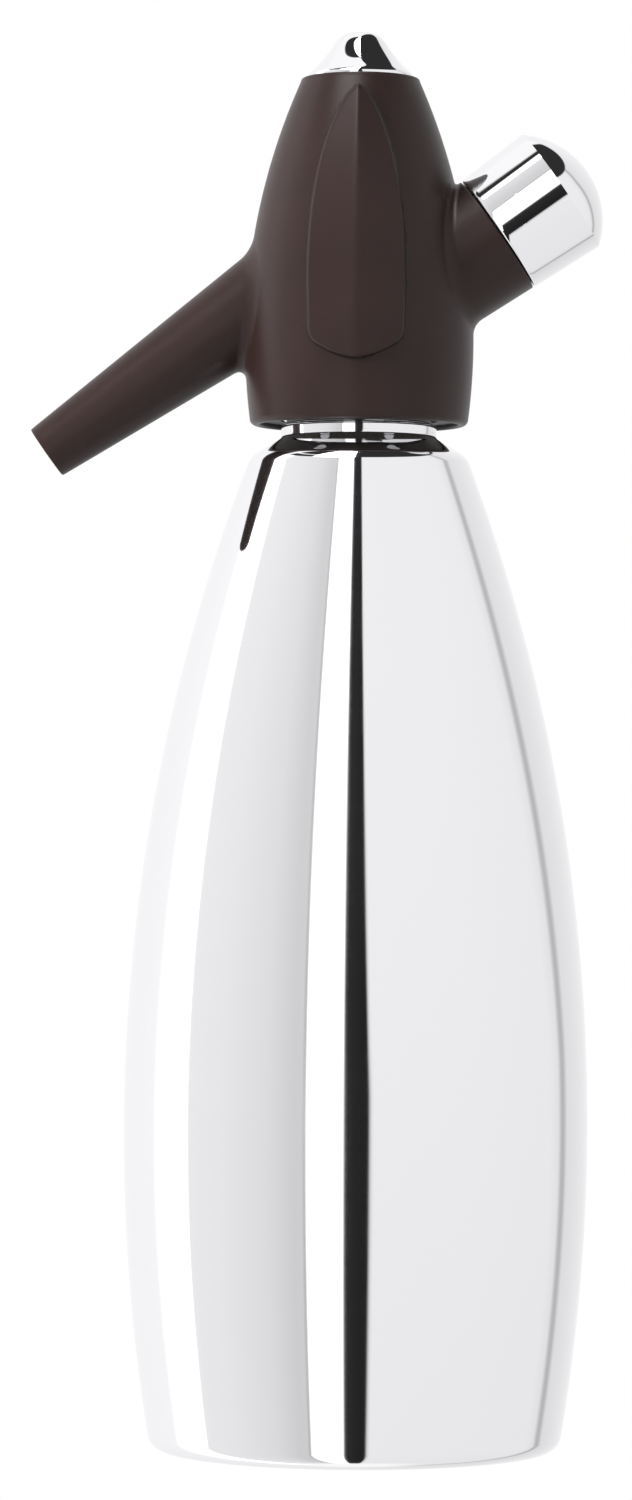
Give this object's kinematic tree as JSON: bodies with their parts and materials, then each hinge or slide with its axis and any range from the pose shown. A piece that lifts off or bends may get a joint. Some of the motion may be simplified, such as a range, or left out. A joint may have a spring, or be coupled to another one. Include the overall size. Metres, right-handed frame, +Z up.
{
  "type": "soda siphon",
  "caption": "Tapered metal siphon bottle with a screw-on plastic head, push button valve, downward spout and screw-on gas charger holder.",
  "frame": {"origin": "centre of the bottle's resting face, on the table", "axes": "+Z up along the bottle's axis; the spout points to -X and the charger holder to +X; the front grip faces -Y"},
  "size_m": [0.1299, 0.1052, 0.322],
  "materials": {
    "steel": "mirror polished stainless steel",
    "chromed": "bright chrome plate",
    "plain_steel": "plain machined or drawn steel",
    "light_alloy": "machined light alloy",
    "brass": "machined brass",
    "head_plastic": "fine grained matt moulded plastic, dark brown black",
    "dark_plastic": "smooth black plastic",
    "pale_plastic": "natural off-white engineering plastic",
    "seal": "silicone rubber"
  },
  "bodies": {
    "bottle": {"bottle_shell": "steel", "bottle_base": "steel", "neck_ring": "steel"},
    "gasket": {"head_gasket": "seal", "tube_seal": "seal"},
    "riser": {"dip_tube": "plain_steel", "tube_foot": "pale_plastic"},
    "head": {"head_shell": "head_plastic", "grip_leaf_front": "head_plastic", "grip_leaf_back": "head_plastic", "head_thread_ring": "light_alloy", "valve_body": "pale_plastic", "body_screws": "plain_steel", "spout_tube": "plain_steel", "spout_seal": "seal", "spout_nozzle": "dark_plastic", "charger_socket": "brass", "charger_seal": "seal", "pierce_pin": "plain_steel", "gas_check_valve": "seal", "stem_gland": "brass", "return_spring": "plain_steel"},
    "button": {"push_button": "chromed", "button_carrier": "dark_plastic", "stem_nut": "brass", "valve_stem": "plain_steel", "stem_o_rings": "seal"},
    "charger": {"gas_charger": "plain_steel"},
    "pad": {"charger_pad": "seal"},
    "holder": {"holder_cap": "chromed", "holder_sleeve": "dark_plastic"}
  },
  "joints": [
    {"name": "head_lift", "type": "slide", "parent": "bottle", "child": "riser", "axis": [0, 0, 1], "range_m": [0, 0.24]},
    {"name": "head_rise", "type": "slide", "parent": "riser", "child": "gasket", "axis": [0, 0, 1], "range_m": [0, 0.006]},
    {"name": "head_turn", "type": "hinge", "parent": "gasket", "child": "head", "pos_m": [0, 0, 0.24], "axis": [0, 0, 1], "range_deg": [0, 972]},
    {"name": "button_press", "type": "slide", "parent": "head", "child": "button", "axis": [0, 0, -1], "range_m": [0, 0.0035], "stiffness_N_per_m": 900, "springref_m": -0.004, "deforming": ["return_spring"]},
    {"name": "holder_off", "type": "slide", "parent": "head", "child": "charger", "axis": [0.8192, 0, 0.5736], "range_m": [0, 0.065]},
    {"name": "holder_rise", "type": "slide", "parent": "charger", "child": "pad", "axis": [0.8192, 0, 0.5736], "range_m": [0, 0.0076]},
    {"name": "holder_turn", "type": "hinge", "parent": "pad", "child": "holder", "pos_m": [0, 0, 0.2541], "axis": [0.8192, 0, 0.5736], "range_deg": [0, 1080]}
  ],
  "couplings": [
    {"joint": "head_rise", "follows": "head_turn", "m_per_rad": 0.00035014},
    {"joint": "holder_rise", "follows": "holder_turn", "m_per_rad": 0.00039789}
  ]
}
